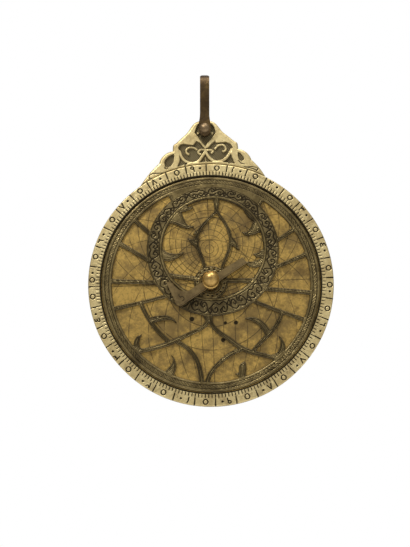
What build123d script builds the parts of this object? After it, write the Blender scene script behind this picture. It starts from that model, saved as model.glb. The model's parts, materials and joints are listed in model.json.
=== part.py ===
from build123d import *
import math
import os

# A hanging planispheric astrolabe of the eastern type, in millimetres.
# The design is drawn about the disc's centre: X to the right, Z up, and "height" towards the viewer,
# which is minus Y. The finished pieces are moved so that the origin is where the instrument hangs,
# at the crown of the shackle's opening.

# Mater: the body of the instrument
disc_radius = 50.0
limb_width = 5.1
back_thickness = 1.6
limb_edge_bevel = 0.35
back_scale_radius = 45.6
back_groove_width = 0.5
back_groove_depth = 0.25

# Plates in the well of the mater
plate_count = 5
plate_thickness = 0.6
plate_edge_gap = 0.15
key_width = 3.0
key_reach = 1.8
key_notch_gap = 0.15
key_tenon_radius = 0.6

# Rete: the star net
rete_thickness = 1.1
rete_running_gap = 0.1
rete_below_limb = 0.1
rete_edge_gap = 0.45
rete_band_width = 3.9
rete_turn = 5.6
hub_radius = 6.9
hub_bevel = 0.5

# Centre pin and horse
pin_radius = 3.3
pin_running_gap = 0.06
pin_head_radius = 5.2
pin_head_thickness = 1.3
pin_neck_radius = 2.75
pin_neck_height = 4.6
ball_height = 7.2
horse_turn = 31.5
horse_width = 3.45
horse_swell = 0.1
horse_tail_width = 3.0
horse_tail_reach = 16.6
horse_head_reach = 16.7
horse_head_rise = 10.1
horse_thickness = 2.2
horse_tail_thickness = 1.5
horse_seat_gap = 0.05
slot_gap = 0.06
slot_depth_under_rete_face = 0.5

# Throne and shackle
throne_thickness = 4.9
throne_height = 19.4
throne_left_reach = 34.0
throne_right_reach = 29.5
pivot_rise = 15.3
tongue_half_angle = 13.0
tongue_depth = 3.0
tongue_thickness = 1.4
tongue_gap = 0.05
bail_rise = 39.5
bail_width = 3.9
bail_foot_width = 5.0
bail_foot_drop = 3.5
bail_leg_thickness = 2.0
bail_crown_thickness = 2.7
bail_side_gap = 0.3
bail_bulge = 1.1
bail_rest_turn = 2.2
bail_pin_radius = 1.25
bail_pin_gap = 0.06
bail_pin_head_radius = 2.05
bail_pin_head_height = 1.1

# Alidade and its vanes, on the back
alidade_thickness = 1.5
alidade_gap = 0.1
alidade_half_length = 44.8
alidade_width = 7.0
alidade_point_length = 9.0
alidade_boss_radius = 8.0
vane_distance = 30.0
vane_width = 7.6
vane_height = 9.0
vane_thickness = 1.0
vane_foot_length = 5.2
peep_radius = 0.6
peep_height = 5.6

# Rivets
rivet_radius = 0.8
rivet_head_radius = 1.45
rivet_gap = 0.02
limb_rivet_count = 8
limb_rivet_cover = 1.2
vane_rivet_radius = 0.6
vane_rivet_head_radius = 1.0
vane_rivet_head_height = 0.5

# Heights worked out from the sizes above
limb_inner_radius = disc_radius - limb_width
plate_radius = limb_inner_radius - plate_edge_gap
rete_radius = limb_inner_radius - rete_edge_gap
rete_band_inner = rete_radius - rete_band_width
stack_thickness = plate_count * plate_thickness
well_depth = stack_thickness + rete_running_gap + rete_thickness + rete_below_limb
body_depth = back_thickness + well_depth
h_back = -body_depth / 2
h_floor = h_back + back_thickness
h_stack = h_floor + stack_thickness
h_rete_low = h_stack + rete_running_gap
h_rete_face = h_rete_low + rete_thickness
h_limb_face = body_depth / 2
h_horse_seat = h_rete_face + horse_seat_gap
h_alidade_inner = h_back - alidade_gap
h_alidade_outer = h_alidade_inner - alidade_thickness
bore_radius = pin_radius + pin_running_gap
pivot_height = disc_radius + pivot_rise
bail_top = disc_radius + bail_rise
hang_height = bail_top - bail_crown_thickness

# The tracery is drawn for an outer band of 40.55 inner radius, and grows and shrinks with the real band
tracery = rete_band_inner / 40.55
ecliptic_reach_below = 13.7 * tracery
ecliptic_inner_radius = 20.7 * tracery
ecliptic_inner_shift = 1.0 * tracery
ecliptic_inset = 1.6 * tracery
ecliptic_outer_radius = (rete_band_inner + ecliptic_reach_below) / 2
ecliptic_centre = (rete_band_inner - ecliptic_reach_below) / 2
ecliptic_inner_centre = ecliptic_centre + ecliptic_inner_shift


written = {}


def face_plane(height):
    """The plane parallel to the disc at a height towards the viewer."""
    return Plane(origin=(0, -height, 0), x_dir=(1, 0, 0), z_dir=(0, -1, 0))


def slab(outline, low, high):
    """An outline drawn on the disc, as a solid between two heights."""
    return extrude(face_plane(low) * outline, high - low)


def rod(x, z, radius, low, high):
    """A round rod square to the disc."""
    return slab(Pos(x, z) * Circle(radius), low, high)


def turned(points):
    """A solid turned about the disc's axis, from (radius, height) points."""
    profile = make_face(Polyline([(r, -h, 0) for r, h in points], close=True))
    return revolve(profile, Axis.Y, 360)


def clock(radius, angle):
    """The point at a radius and at an angle clockwise from the top."""
    turn = math.radians(angle)
    return radius * math.sin(turn), radius * math.cos(turn)


def keep(name, *solids):
    """Moves the finished solids of one piece to the hanging frame and notes them under its name."""
    moved = [Pos(0, 0, -hang_height) * solid for solid in solids]
    written[name] = moved[0] if len(moved) == 1 else Compound(children=moved)


def one(shape):
    """The single solid of a shape."""
    solids = shape.solids()
    if len(solids) != 1:
        raise ValueError(f"expected one solid, found {len(solids)}")
    return solids[0]


def outline(*curves):
    """The face inside a closed run of curves."""
    return make_face(Wire([edge for curve in curves for edge in curve.edges()]))


def ring_face(outer, inner, centre=(0.0, 0.0), inner_centre=None):
    """A flat ring, whose hole may lie off its centre."""
    hole_at = inner_centre or centre
    return Pos(*centre) * Circle(outer) - Pos(*hole_at) * Circle(inner)


def sector(low, high, reach):
    """A wedge of the disc between two clock angles."""
    tip = clock(reach, (low + high) / 2)
    return make_face(Polyline([(0, 0), clock(reach, low), tip, clock(reach, high)], close=True))


# Rivets


def countersunk_rivet(x, z, top, gap=0.0):
    """A rivet from the back face up to a height, its head sunk flush. A gap makes the hole for it."""
    sink = rivet_head_radius - rivet_radius
    shank = rod(x, z, rivet_radius + gap, h_back, top)
    axis = Plane(origin=(x, -h_back, z), x_dir=(1, 0, 0), z_dir=(0, -1, 0))
    head = axis * Pos(0, 0, sink / 2) * Cone(rivet_head_radius + gap, rivet_radius + gap, sink)
    return one(shank + head)


def limb_rivet_places():
    """The rivets stand on the middle of the limb, clear of the throne and of the key."""
    step = 360 / limb_rivet_count
    middle = disc_radius - limb_width / 2
    return [clock(middle, (i + 0.5) * step) for i in range(limb_rivet_count)]


def throne_rivet_places():
    """Three rivets through the throne's tongue, the outer ones at two thirds of its half angle."""
    middle = disc_radius - tongue_depth / 2
    spread = tongue_half_angle * 2 / 3
    return [clock(middle, angle) for angle in (-spread, 0, spread)]


limb_rivet_top = h_limb_face - limb_rivet_cover
tongue_top = h_floor + tongue_thickness


# Mater


def tongue_outline(gap=0.0):
    """The arc-shaped tongue of the throne, which lies under the limb."""
    angle = tongue_half_angle + math.degrees(gap / disc_radius)
    band = ring_face(disc_radius + 2, disc_radius - tongue_depth - gap)
    return band & sector(-angle, angle, 2 * disc_radius)


def notch_outline():
    """The notch over the peg, at the bottom of each plate."""
    height = 2 * (key_reach + key_notch_gap)
    return Pos(0, -limb_inner_radius) * Rectangle(key_width + 2 * key_notch_gap, height)


def key_face():
    """The peg's outline, its outer side round like the wall behind it."""
    tall = Pos(0, -limb_inner_radius) * Rectangle(key_width, 2 * key_reach)
    return tall & Circle(limb_inner_radius - rivet_gap)


def key_tenon_place():
    return 0.0, -(limb_inner_radius - key_reach / 2)


def mater_back_plate():
    """The back plate, with a border groove for the outer scale and all its rivet holes."""
    plate = slab(Circle(disc_radius) - Circle(bore_radius), h_back, h_floor)
    half_groove = back_groove_width / 2
    groove = ring_face(back_scale_radius + half_groove, back_scale_radius - half_groove)
    plate -= slab(groove, h_back, h_back + back_groove_depth)
    for x, z in limb_rivet_places() + throne_rivet_places():
        plate -= countersunk_rivet(x, z, limb_rivet_top, rivet_gap)
    x, z = key_tenon_place()
    plate -= rod(x, z, key_tenon_radius + rivet_gap, h_back, h_floor)
    return one(plate)


def limb_ring():
    """The rim, with bevelled edges, its blind rivet holes and the pocket for the throne's tongue."""
    bevel = limb_edge_bevel
    ring = turned(
        [
            (limb_inner_radius, h_floor),
            (disc_radius, h_floor),
            (disc_radius, h_limb_face - bevel),
            (disc_radius - bevel, h_limb_face),
            (limb_inner_radius + bevel / 2, h_limb_face),
            (limb_inner_radius, h_limb_face - bevel / 2),
        ]
    )
    ring -= slab(tongue_outline(tongue_gap), h_floor, tongue_top + tongue_gap)
    for x, z in limb_rivet_places():
        ring -= rod(x, z, rivet_radius + rivet_gap, h_floor, limb_rivet_top)
    return one(ring)


def plate_key():
    """The peg that stops the plates from turning, with its tenon through the back plate."""
    x, z = key_tenon_place()
    peg = slab(key_face(), h_floor, h_stack)
    return one(peg + rod(x, z, key_tenon_radius, h_back, h_floor))


def latitude_plate(number):
    """One plate of the stack, counted from the back, with its bore and its notch for the peg."""
    low = h_floor + (number - 1) * plate_thickness
    sheet = Circle(plate_radius) - Circle(bore_radius) - notch_outline()
    return one(slab(sheet, low, low + plate_thickness))


# Throne and shackle


def throne_outline():
    """The bracket's lobed outline, from its crown down to where it runs into the rim, a little uneven."""
    rise = throne_height / 19.4
    width = disc_radius / 50

    def on(x, up):
        return x * width, disc_radius + up * rise

    sides = []
    feet = []
    for side, reach, bow in ((-1, throne_left_reach, 0.4), (1, throne_right_reach, -0.1)):
        crown = [on(0, 19.4), on(4.4, 18.1), on(7.3, 14.3), on(9.6, 12.2), on(12.6, 9.6), on(13.7, 6.4)]
        shoulder = [crown[-1], on(16.9 + bow, 4.9), on(19.1 + bow, 1.4)]
        foot = clock(disc_radius, reach)
        start = shoulder[-1]
        bulge = 1.01
        wing = [start, ((start[0] + foot[0]) / 2 * bulge, (start[1] + foot[1]) / 2 * bulge), foot]
        sides.append(Spline([(side * x, z) for x, z in crown], tangents=[(side, 0), (0, -1)]))
        sides.append(ThreePointArc(*[(side * x, z) for x, z in shoulder]))
        sides.append(ThreePointArc(*[(side * x, z) for x, z in wing]))
        feet.append((side * foot[0], foot[1]))
    under = ThreePointArc(feet[0], (0, disc_radius * 0.98), feet[1])
    return outline(*sides, under) - Circle(disc_radius)


def throne():
    """The bracket with its tongue and the hole for the shackle's pin."""
    half = throne_thickness / 2
    body = slab(throne_outline(), -half, half)
    tongue = slab(tongue_outline() & Circle(disc_radius + 1), h_floor, tongue_top)
    body += tongue
    for x, z in throne_rivet_places():
        body -= countersunk_rivet(x, z, tongue_top, rivet_gap)
    body -= rod(0, pivot_height, bail_pin_radius + bail_pin_gap, -body_depth, body_depth)
    return one(body)


def s_curve(start, end):
    """Two arcs from one point to another, upright at both ends."""
    across = end[0] - start[0]
    up = end[1] - start[1]
    near = (start[0] + across * 0.125, start[1] + up * 0.25)
    far = (end[0] - across * 0.125, end[1] - up * 0.25)
    middle = ((start[0] + end[0]) / 2, (start[1] + end[1]) / 2)
    return [ThreePointArc(start, near, middle), ThreePointArc(middle, far, end)]


def bail_side_outline():
    """The shackle seen from its side: two legs astride the throne and a round crown.
    Its crest stands a little over the round top that the front outline cuts."""
    leg_in = throne_thickness / 2 + bail_side_gap
    leg_out = leg_in + bail_leg_thickness
    crown_in = leg_in + bail_bulge
    crown_out = leg_out + bail_bulge
    foot = pivot_height - bail_foot_drop
    shoulder = disc_radius + throne_height * 1.05
    high_out = bail_top - crown_out
    high_in = hang_height - crown_in
    crest = bail_top + bail_crown_thickness * 0.15
    return outline(
        Line((leg_out, foot), (leg_out, shoulder)),
        *s_curve((leg_out, shoulder), (crown_out, high_out)),
        ThreePointArc((crown_out, high_out), (0, crest), (-crown_out, high_out)),
        *s_curve((-crown_out, high_out), (-leg_out, shoulder)),
        Polyline([(-leg_out, shoulder), (-leg_out, foot), (-leg_in, foot), (-leg_in, shoulder)]),
        *s_curve((-leg_in, shoulder), (-crown_in, high_in)),
        ThreePointArc((-crown_in, high_in), (0, hang_height), (crown_in, high_in)),
        *s_curve((crown_in, high_in), (leg_in, shoulder)),
        Polyline([(leg_in, shoulder), (leg_in, foot), (leg_out, foot)]),
    )


def bail_front_outline():
    """The shackle seen from the front: a bar with a round top that widens to a round foot."""
    pad = bail_foot_width / 2
    half = bail_width / 2
    waist = disc_radius + throne_height * 1.13
    foot_centre = pivot_height - bail_foot_drop + pad
    crown_foot = bail_top - half * 0.7
    return outline(
        Line((pad, foot_centre), (pad, pivot_height)),
        *s_curve((pad, pivot_height), (half, waist)),
        Line((half, waist), (half, crown_foot)),
        ThreePointArc((half, crown_foot), (0, bail_top), (-half, crown_foot)),
        Line((-half, crown_foot), (-half, waist)),
        *s_curve((-half, waist), (-pad, pivot_height)),
        Line((-pad, pivot_height), (-pad, foot_centre)),
        ThreePointArc((-pad, foot_centre), (0, foot_centre - pad), (pad, foot_centre)),
    )


def swung(shape):
    """The shackle and its pin as they hang, turned about the pin."""
    pivot = Pos(0, 0, pivot_height)
    return pivot * Rot(0, bail_rest_turn, 0) * pivot.inverse() * shape


def bail():
    """The shackle, cut to both its outlines, with the holes for its pin."""
    reach = 2 * bail_foot_width
    side_plane = Plane(origin=(-reach, 0, 0), x_dir=(0, 1, 0), z_dir=(1, 0, 0))
    seen_from_side = extrude(side_plane * bail_side_outline(), 2 * reach)
    seen_from_front = slab(bail_front_outline(), -2 * disc_radius, 2 * disc_radius)
    shackle = seen_from_side & seen_from_front
    shackle -= rod(0, pivot_height, bail_pin_radius + rivet_gap, -body_depth * 2, body_depth * 2)
    return one(swung(shackle))


def domed_head(x, z, radius, rise, seat, side):
    """A low dome on a seat, towards the viewer (side 1) or away (side -1)."""
    ball = (radius**2 + rise**2) / (2 * rise)
    place = Plane(origin=(x, -seat, z), x_dir=(1, 0, 0), z_dir=(0, -side, 0))
    return place * (Pos(0, 0, rise - ball) * Sphere(ball) & Pos(0, 0, rise / 2) * Cylinder(radius, rise))


def bail_pin():
    """The shackle's pin, riveted over with a domed head on each side."""
    seat = throne_thickness / 2 + bail_side_gap + bail_leg_thickness
    pin = rod(0, pivot_height, bail_pin_radius, -seat, seat)
    for side in (1, -1):
        pin += domed_head(0, pivot_height, bail_pin_head_radius, bail_pin_head_height, side * seat, side)
    return one(pin)


# Rete


def drawn(x, z):
    """A point of the tracery."""
    return x * tracery, z * tracery


def on_band(angle):
    """The point on the middle of the outer band, clockwise from the rete's top."""
    return clock(rete_band_inner + rete_band_width / 2, angle)


def on_ecliptic(angle):
    """The point well inside the ecliptic ring, clockwise from its top."""
    x, z = clock(ecliptic_outer_radius - ecliptic_inset, angle)
    return x, z + ecliptic_centre


def strap(points, widths):
    """A curved bar of the tracery through its middle points, with a width at each."""
    left, right = [], []
    for i, (x, z) in enumerate(points):
        before = points[max(i - 1, 0)]
        after = points[min(i + 1, len(points) - 1)]
        along = math.hypot(after[0] - before[0], after[1] - before[1])
        side = ((before[1] - after[1]) / along, (after[0] - before[0]) / along)
        half = widths[i] / 2 * tracery
        left.append((x + side[0] * half, z + side[1] * half))
        right.append((x - side[0] * half, z - side[1] * half))
    if len(points) == 2:
        return make_face(Polyline(left + right[::-1], close=True))
    return outline(Spline(left), Line(left[-1], right[-1]), Spline(right[::-1]), Line(right[0], left[0]))


def flame(one_side, other_side):
    """A curved star pointer: two curves from its foot that meet at its tip."""
    tip = one_side[-1]
    return outline(Spline(one_side), Spline(other_side + [tip]), Line(one_side[0], other_side[0]))


def rete_rings():
    """The outer band, the ecliptic ring, the web that joins them at the top, the hub and the pointer."""
    band = ring_face(rete_radius, rete_band_inner)
    inner_centre = (0, ecliptic_inner_centre)
    ecliptic = ring_face(ecliptic_outer_radius, ecliptic_inner_radius, (0, ecliptic_centre), inner_centre)
    web_ring = ring_face(rete_band_inner + rete_band_width / 2, rete_band_inner - 4 * tracery)
    web = web_ring & sector(-29, 29, 2 * rete_radius)
    web -= Pos(*inner_centre) * Circle(ecliptic_inner_radius)
    return [band, ecliptic, web, Circle(hub_radius)]


def rete_bars():
    """The level bar on both sides of the hub and the straight straps outside the ecliptic."""
    bars = []
    for side in (-1, 1):
        at_hub = (side * hub_radius * 0.88, 1.2 * tracery)
        bars.append(strap([at_hub, on_ecliptic(side * 116)], [1.9, 1.9]))
        bars.append(strap([on_ecliptic(side * 125), on_band(side * 92.5)], [1.7, 1.9]))
        bars.append(strap([on_ecliptic(side * 79), on_band(side * 53.5)], [1.5, 1.8]))
        bars.append(strap([on_ecliptic(side * 104), on_band(side * 69.5)], [1.5, 1.8]))
        bent = [on_ecliptic(side * 140), drawn(side * 28, -9.9), on_band(side * 108.5)]
        bars.append(strap(bent, [1.5, 1.5, 1.8]))
    return bars


def rete_vine():
    """The curved straps of the lower half, which part under the ecliptic about an onion-shaped window."""
    stem = strap([on_ecliptic(182), drawn(0.2, -15.6)], [4.4, 2.6])
    left_arm = strap(
        [
            drawn(0.1, -15.0), drawn(-1.6, -17.9), drawn(-6.5, -21.0), drawn(-12.6, -24.3),
            drawn(-20.0, -27.6), drawn(-25.0, -29.1), drawn(-28.6, -30.4),
        ],
        [1.7, 1.7, 1.6, 1.8, 1.9, 1.7, 1.5],
    )
    right_arm = strap(
        [
            drawn(0.3, -15.0), drawn(3.4, -19.2), drawn(8.6, -22.6), drawn(12.9, -25.4),
            drawn(19.0, -27.6), drawn(24.4, -28.6), drawn(29.2, -30.0),
        ],
        [1.6, 1.6, 1.8, 1.9, 1.8, 1.7, 1.5],
    )
    left_onion = strap(
        [drawn(-12.4, -25.0), drawn(-8.0, -27.2), drawn(-4.7, -30.4), drawn(-2.4, -35.4), on_band(181.2)],
        [1.5, 1.7, 1.7, 1.8, 2.2],
    )
    right_onion = strap(
        [drawn(14.2, -26.4), drawn(9.2, -29.0), drawn(4.6, -33.2), drawn(2.0, -37.0), on_band(178.8)],
        [1.5, 1.8, 1.7, 1.8, 2.2],
    )
    left_branch = strap([drawn(-27.8, -10.4), drawn(-23.9, -16.8), drawn(-15.2, -25.2)], [1.8, 1.7, 1.6])
    right_branch = strap(
        [drawn(29.4, -10.6), drawn(27.6, -15.6), drawn(23.8, -20.6), drawn(18.6, -26.9)],
        [1.8, 1.7, 1.7, 1.6],
    )
    return [stem, left_arm, right_arm, left_onion, right_onion, left_branch, right_branch]


def rete_lyre():
    """The lyre inside the ecliptic ring, from the hub up to the ring, with its three small leaves."""
    top = ecliptic_inner_centre + ecliptic_inner_radius
    stub = strap([(0.3 * tracery, top + tracery), drawn(0.5, 31.2), drawn(0.7, 29.4)], [2.9, 1.8, 1.3])
    widths = [1.2, 1.2, 1.4, 1.5, 1.4, 1.5]
    left = strap(
        [
            drawn(0.9, 30.4), drawn(-3.0, 26.0), drawn(-6.1, 21.4),
            drawn(-6.9, 17.6), drawn(-5.4, 12.6), (-0.42 * hub_radius, 0.8 * hub_radius),
        ],
        widths,
    )
    right = strap(
        [
            drawn(0.5, 30.4), drawn(3.8, 26.0), drawn(6.4, 21.4),
            drawn(7.1, 17.6), drawn(6.2, 12.6), (0.56 * hub_radius, 0.68 * hub_radius),
        ],
        widths,
    )
    left_leaf = flame(
        [drawn(-6.6, 18.4), drawn(-8.6, 17.6), drawn(-10.6, 18.0)],
        [drawn(-6.0, 14.4), drawn(-8.2, 15.2)],
    )
    upper_leaf = flame(
        [drawn(-5.6, 22.4), drawn(-7.2, 21.4), drawn(-8.6, 19.4)],
        [drawn(-6.8, 19.6), drawn(-7.6, 19.9)],
    )
    right_leaf = flame(
        [drawn(6.9, 20.2), drawn(9.2, 17.8), drawn(11.0, 14.0)],
        [drawn(7.0, 16.6), drawn(8.8, 15.4)],
    )
    return [stub, left, right, left_leaf, upper_leaf, right_leaf]


def rete_pointers():
    """The curved star pointers that grow from the rings and straps."""
    upper_left = flame(
        [drawn(-19.6, 23.6), drawn(-15.3, 23.3), drawn(-12.4, 22.2), drawn(-8.1, 23.2)],
        [drawn(-17.2, 29.2), drawn(-13.4, 27.8), drawn(-12.0, 24.9)],
    )
    upper_left_curl = flame(
        [drawn(-16.6, 30.4), drawn(-13.0, 31.2), drawn(-8.9, 31.0)],
        [drawn(-15.0, 28.6), drawn(-11.6, 29.4)],
    )
    upper_right = flame(
        [drawn(19.0, 22.0), drawn(15.6, 20.8), drawn(13.6, 20.5), drawn(11.4, 21.9)],
        [drawn(17.6, 27.6), drawn(15.4, 25.2), drawn(14.4, 22.8)],
    )
    upper_right_curl = flame(
        [drawn(17.6, 29.6), drawn(14.6, 31.6), drawn(10.6, 33.2)],
        [drawn(16.6, 26.6), drawn(13.4, 28.8)],
    )
    middle_left = flame(
        [drawn(-20.6, 8.0), drawn(-16.2, 8.3), drawn(-13.6, 9.8), drawn(-11.6, 12.2)],
        [drawn(-21.2, 13.8), drawn(-17.6, 11.3), drawn(-14.6, 11.2)],
    )
    middle_right = flame(
        [drawn(20.8, 8.8), drawn(17.2, 7.2), drawn(14.8, 7.8), drawn(13.6, 9.6)],
        [drawn(21.2, 13.4), drawn(18.4, 10.4), drawn(15.6, 9.6)],
    )
    middle_right_barb = flame(
        [drawn(21.4, 17.4), drawn(18.6, 13.6), drawn(16.6, 13.0)],
        [drawn(21.2, 12.4), drawn(18.6, 11.6)],
    )
    lower_left = flame(
        [drawn(-25.2, -16.2), drawn(-20.4, -14.8), drawn(-15.8, -14.8), drawn(-12.6, -17.9)],
        [drawn(-23.8, -18.2), drawn(-19.4, -16.9), drawn(-15.0, -16.3)],
    )
    lower_right = flame(
        [drawn(25.8, -20.0), drawn(22.4, -15.0), drawn(18.2, -13.2), drawn(14.2, -14.2)],
        [drawn(23.4, -21.6), drawn(21.2, -17.2), drawn(18.0, -14.9)],
    )
    left_hook = flame(
        [drawn(-27.4, -30.8), drawn(-29.6, -27.6), drawn(-29.0, -24.6), drawn(-26.6, -22.8)],
        [drawn(-25.0, -28.6), drawn(-27.2, -27.4), drawn(-27.3, -25.2)],
    )
    right_hook = flame(
        [drawn(28.6, -30.8), drawn(31.4, -26.0), drawn(31.0, -22.8), drawn(28.4, -20.2)],
        [drawn(25.4, -28.0), drawn(28.4, -26.6), drawn(29.4, -23.6)],
    )
    low_crescent = flame(
        [drawn(-17.0, -38.2), drawn(-15.2, -35.9), drawn(-13.6, -33.6), drawn(-14.6, -30.2)],
        [drawn(-13.4, -39.4), drawn(-11.9, -36.0), drawn(-12.3, -32.8)],
    )
    low_flame = flame(
        [drawn(12.6, -39.6), drawn(13.4, -36.6), drawn(13.2, -34.2), drawn(15.6, -31.2)],
        [drawn(15.8, -38.4), drawn(16.2, -36.2), drawn(16.3, -33.8)],
    )
    low_barb = flame(
        [drawn(13.1, -37.6), drawn(12.4, -36.8), drawn(11.6, -36.6)],
        [drawn(13.4, -35.8), drawn(12.6, -36.1)],
    )
    inside = [upper_left, upper_left_curl, upper_right, upper_right_curl, middle_left, middle_right]
    outside = [lower_left, lower_right, left_hook, right_hook, low_crescent, low_flame, low_barb]
    return inside + [middle_right_barb] + outside


def rete_outline():
    """The whole pierced net as one face."""
    face = None
    for piece in rete_rings() + rete_bars() + rete_vine() + rete_lyre() + rete_pointers():
        face = piece if face is None else face + piece
    return (face & Circle(rete_radius)) - Circle(bore_radius)


def rete():
    """The star net, its hub bevelled about the bore, turned as it lies in the photograph."""
    net = slab(rete_outline(), h_rete_low, h_rete_face)
    bevel_low = h_rete_face - hub_bevel
    bevel = turned(
        [(0, bevel_low), (bore_radius, bevel_low), (bore_radius + hub_bevel, h_rete_face), (0, h_rete_face)]
    )
    return one(Rot(0, rete_turn, 0) * (net - bevel))


# Centre pin and horse


def on_horse(along, across):
    """A point in the horse's own directions: along it from the pin to its tail, and across it upwards."""
    turn = math.radians(horse_turn)
    return (
        along * math.cos(turn) - across * math.sin(turn),
        along * math.sin(turn) + across * math.cos(turn),
    )


def horse_outline():
    """The wedge's outline: a tapering bar with a flared head whose lower corner is round."""
    low = -horse_width / 2
    high = horse_width / 2 + horse_swell
    reach = horse_head_reach
    rise = horse_head_rise
    corner = horse_width * 0.58
    tail = on_horse(horse_tail_reach, low)
    tail_top = on_horse(horse_tail_reach - horse_tail_width / 10, horse_tail_width + low)
    neck_foot = on_horse(-reach * 0.437, high)
    neck_top = on_horse(-reach * 0.796, rise * 0.79)
    brow = on_horse(-reach * 0.91, rise)
    chin_high = on_horse(-reach, low + corner)
    chin_low = on_horse(-reach + corner, low)
    body = Polyline([tail, tail_top, neck_foot])
    neck = ThreePointArc(neck_foot, on_horse(-reach * 0.7, rise * 0.31), neck_top)
    chin = ThreePointArc(chin_high, on_horse(-reach + corner / 4, low + corner / 4), chin_low)
    return outline(body, neck, Polyline([neck_top, brow, chin_high]), chin, Line(chin_low, tail))


def horse_taper_height(along):
    """The height of the wedge's outer face, which falls towards its tail."""
    length = horse_tail_reach + horse_head_reach
    share = (horse_tail_reach - along) / length
    return h_horse_seat + horse_tail_thickness + (horse_thickness - horse_tail_thickness) * share


def above_horse(gap):
    """All the space in front of the wedge's outer face."""
    far = 2 * disc_radius
    head = -(horse_taper_height(-far) + gap)
    tail = -(horse_taper_height(far) + gap)
    side = make_face(Polyline([(-far, head), (far, tail), (far, -far), (-far, -far)], close=True))
    prism = extrude(Plane(origin=(0, 0, -far), x_dir=(1, 0, 0), z_dir=(0, 0, 1)) * side, 2 * far)
    return Rot(0, -horse_turn, 0) * prism


def horse():
    """The wedge that holds the stack together."""
    bar = slab(horse_outline(), h_horse_seat, h_horse_seat + 2 * horse_thickness)
    return one(bar - above_horse(0))


def centre_pin():
    """The pin: a flat head behind, a shank, the slot for the wedge, and a neck under its round end."""
    head_high = h_alidade_outer - alidade_gap
    head_low = head_high - pin_head_thickness
    head_bevel = pin_head_thickness * 0.3
    neck = h_rete_face + pin_neck_height
    neck_bevel = (pin_radius - pin_neck_radius) / 2
    ball_at = h_rete_face + ball_height
    shank = turned(
        [
            (0, head_low),
            (pin_head_radius - head_bevel, head_low),
            (pin_head_radius, head_low + head_bevel),
            (pin_head_radius, head_high),
            (pin_radius, head_high),
            (pin_radius, neck - neck_bevel),
            (pin_neck_radius, neck),
            (pin_neck_radius, ball_at),
            (0, ball_at),
        ]
    )
    ball = Pos(0, -ball_at, 0) * Sphere(pin_radius)
    slot_width = horse_width + horse_swell + 2 * slot_gap
    slot_middle = on_horse(0, horse_swell / 2)
    slot_face = Pos(*slot_middle) * Rot(0, 0, horse_turn) * Rectangle(4 * pin_radius, slot_width)
    slot = slab(slot_face, h_rete_face - slot_depth_under_rete_face, h_horse_seat + 2 * horse_thickness)
    return one(shank + ball - (slot - above_horse(slot_gap)))


# Alidade


def alidade_outline():
    """The sighting rule: a boss with two arms that end in ogee points on the centre line."""
    half = alidade_width / 2
    shoulder = alidade_half_length - alidade_point_length
    waist = shoulder + alidade_point_length * 0.36
    rule = Rectangle(2 * shoulder, alidade_width) + Circle(alidade_boss_radius)
    for side in (1, -1):
        tip = (side * alidade_half_length, 0)
        upper = Spline([(side * shoulder, half), (side * waist, half * 0.45), tip])
        lower = Spline([tip, (side * waist, -half * 0.45), (side * shoulder, -half)])
        rule += outline(upper, lower, Line((side * shoulder, -half), (side * shoulder, half)))
    return rule


def vane_rivet_places(side):
    """Two rivets through the foot of a vane, on its side towards the boss."""
    x = side * (vane_distance - vane_thickness - (vane_foot_length - vane_thickness) / 2)
    return [(x, z) for z in (-vane_width / 4, vane_width / 4)]


def alidade():
    """The rule with its bore and the vanes' rivet holes."""
    rule = slab(alidade_outline() - Circle(bore_radius), h_alidade_outer, h_alidade_inner)
    for side in (1, -1):
        for x, z in vane_rivet_places(side):
            rule -= rod(x, z, vane_rivet_radius + rivet_gap, h_alidade_outer, h_alidade_inner)
    return one(rule)


def sight_vane(side):
    """An upright with a round top and a sighting hole, on a bent foot."""
    half = vane_width / 2
    tall = vane_height - half
    arch = ThreePointArc((half, tall), (0, vane_height), (-half, tall))
    upright_face = outline(Polyline([(-half, tall), (-half, 0), (half, 0), (half, tall)]), arch)
    upright_face -= Pos(0, peep_height) * Circle(peep_radius)
    inner = side * (vane_distance - vane_thickness)
    base = Plane(origin=(inner, -h_alidade_outer, 0), x_dir=(0, 0, -1), z_dir=(1, 0, 0))
    upright = extrude(base * upright_face, side * vane_thickness)
    foot_middle = side * (vane_distance - vane_foot_length / 2)
    foot = slab(
        Pos(foot_middle, 0) * Rectangle(vane_foot_length, vane_width),
        h_alidade_outer - vane_thickness,
        h_alidade_outer,
    )
    vane = upright + foot
    for x, z in vane_rivet_places(side):
        vane -= rod(x, z, vane_rivet_radius + rivet_gap, h_alidade_outer - vane_thickness, h_alidade_outer)
    return one(vane)


def vane_rivet(x, z):
    """A small rivet from the rule's inner face, domed over on the vane's foot."""
    seat = h_alidade_outer - vane_thickness
    shank = rod(x, z, vane_rivet_radius, seat, h_alidade_inner)
    return one(shank + domed_head(x, z, vane_rivet_head_radius, vane_rivet_head_height, seat, -1))


def build():
    """Makes every piece."""
    keep("mater_back_plate", mater_back_plate())
    keep("limb_ring", limb_ring())
    keep("limb_rivets", *[countersunk_rivet(x, z, limb_rivet_top) for x, z in limb_rivet_places()])
    keep("plate_key", plate_key())
    keep("throne", throne())
    keep("throne_rivets", *[countersunk_rivet(x, z, tongue_top) for x, z in throne_rivet_places()])
    keep("bail", bail())
    keep("bail_pin", bail_pin())
    for number in range(1, plate_count + 1):
        keep(f"latitude_plate_{number}", latitude_plate(number))
    keep("rete", rete())
    keep("centre_pin", centre_pin())
    keep("horse", horse())
    keep("alidade", alidade())
    keep("sight_vane_left", sight_vane(-1))
    keep("sight_vane_right", sight_vane(1))
    places = vane_rivet_places(-1) + vane_rivet_places(1)
    keep("vane_rivets", *[vane_rivet(x, z) for x, z in places])


build()
os.makedirs("parts", exist_ok=True)
for name, shape in written.items():
    export_step(shape, f"parts/{name}.step")
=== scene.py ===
import bpy
import json
import math
import random
import numpy as np
from mathutils import Matrix, Vector


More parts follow.
